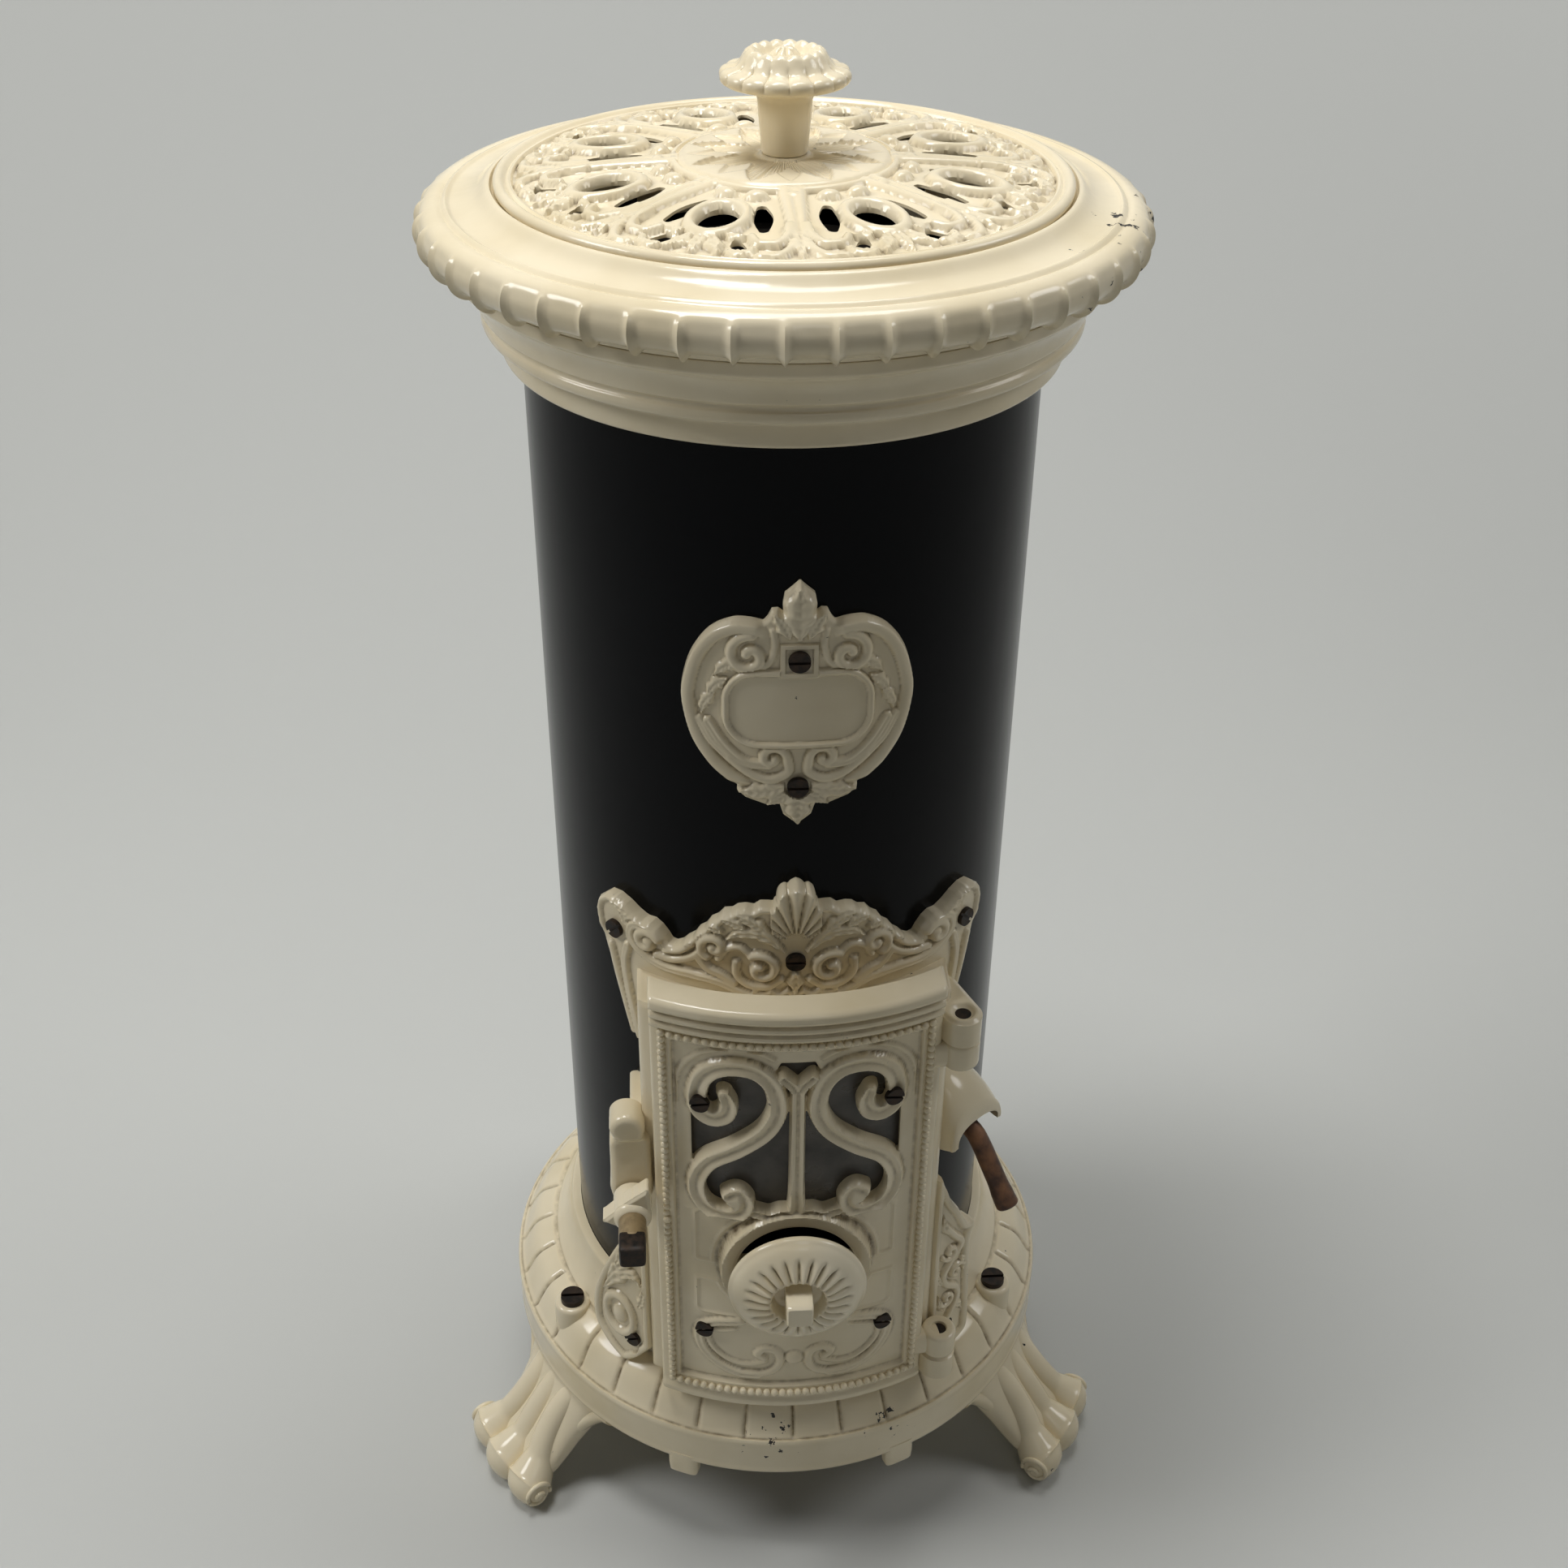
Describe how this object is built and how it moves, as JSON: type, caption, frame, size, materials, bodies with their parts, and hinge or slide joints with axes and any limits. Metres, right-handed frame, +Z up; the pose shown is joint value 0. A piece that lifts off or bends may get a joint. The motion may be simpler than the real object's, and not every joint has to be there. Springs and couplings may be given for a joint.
{
  "type": "wood stove",
  "caption": "Cylindrical cast iron wood stove: cream enamelled castings round a black drum, pierced lift-off lid, scroll door with screw air disc, turn latch, shaker grate and clawed legs.",
  "frame": {"origin": "on the floor, on the vertical axis of the drum, the centre of the circle of the three feet", "axes": "+Z up, the door faces -Y, +X to the right of someone facing the door"},
  "size_m": [0.4838, 0.498, 1.012],
  "materials": {
    "cream": "cream gloss vitreous enamel on cast iron, chipped at the edges",
    "drum_enamel": "black gloss enamel on sheet steel",
    "iron": "bare dark casting",
    "disc_enamel": "cream gloss enamel",
    "steel": "dark oxidised steel",
    "rusty": "rust brown bar",
    "latch_iron": "worn enamel and bare iron",
    "sheet": "dulled sheet steel",
    "mica": "sooted mica"
  },
  "bodies": {
    "stove_body": {"base_plate": "cream", "leg_left": "cream", "leg_right": "cream", "leg_rear": "cream", "cornice_ring": "cream", "rim_ring": "cream", "plaque": "cream", "door_frame": "cream", "drum_jacket": "drum_enamel", "ash_floor": "iron", "grate_carrier": "iron", "firepot_liner": "iron", "top_plate": "iron", "feed_lid": "iron", "flue_collar": "iron", "leg_bolts": "steel", "tie_rods": "steel", "tie_nuts": "steel", "flue_screws": "steel", "plaque_screws": "steel", "crest_screws": "steel", "pilaster_screws": "steel", "hinge_pins": "steel", "ash_pan": "sheet"},
    "lid": {"lid": "cream", "lid_knob": "cream", "knob_stud": "steel", "knob_nut": "steel"},
    "door": {"door": "cream", "window_pane": "mica", "door_liner": "iron", "door_screws": "steel", "air_stud": "steel"},
    "air_washer": {"air_washer": "steel"},
    "air_disc": {"air_disc": "disc_enamel"},
    "latch": {"latch_cam": "latch_iron", "latch_nut": "steel"},
    "grate": {"grate": "iron", "shaker_rod": "rusty"}
  },
  "joints": [
    {"name": "door_hinge", "type": "hinge", "parent": "stove_body", "child": "door", "pos_m": [0.103, -0.168, 0.33], "axis": [0, 0, 1], "range_deg": [0, 105]},
    {"name": "air_travel", "type": "slide", "parent": "door", "child": "air_washer", "axis": [0, -1, 0], "range_m": [-0.0095, 0.006]},
    {"name": "air_turn", "type": "hinge", "parent": "air_washer", "child": "air_disc", "pos_m": [0, -0.2, 0.288], "axis": [0, -1, 0], "range_deg": [-570, 360]},
    {"name": "lid_lift", "type": "slide", "parent": "stove_body", "child": "lid", "axis": [0, 0, 1], "range_m": [0, 0.15]},
    {"name": "latch_turn", "type": "hinge", "parent": "stove_body", "child": "latch", "pos_m": [-0.105, -0.16, 0.337], "axis": [0, -1, 0], "range_deg": [-66, 50]},
    {"name": "grate_shake", "type": "hinge", "parent": "stove_body", "child": "grate", "pos_m": [0, 0, 0.345], "axis": [0, 0, 1], "range_deg": [-3, 3]}
  ],
  "couplings": [
    {"joint": "air_travel", "follows": "air_turn", "m_per_rad": 0.00095493}
  ]
}
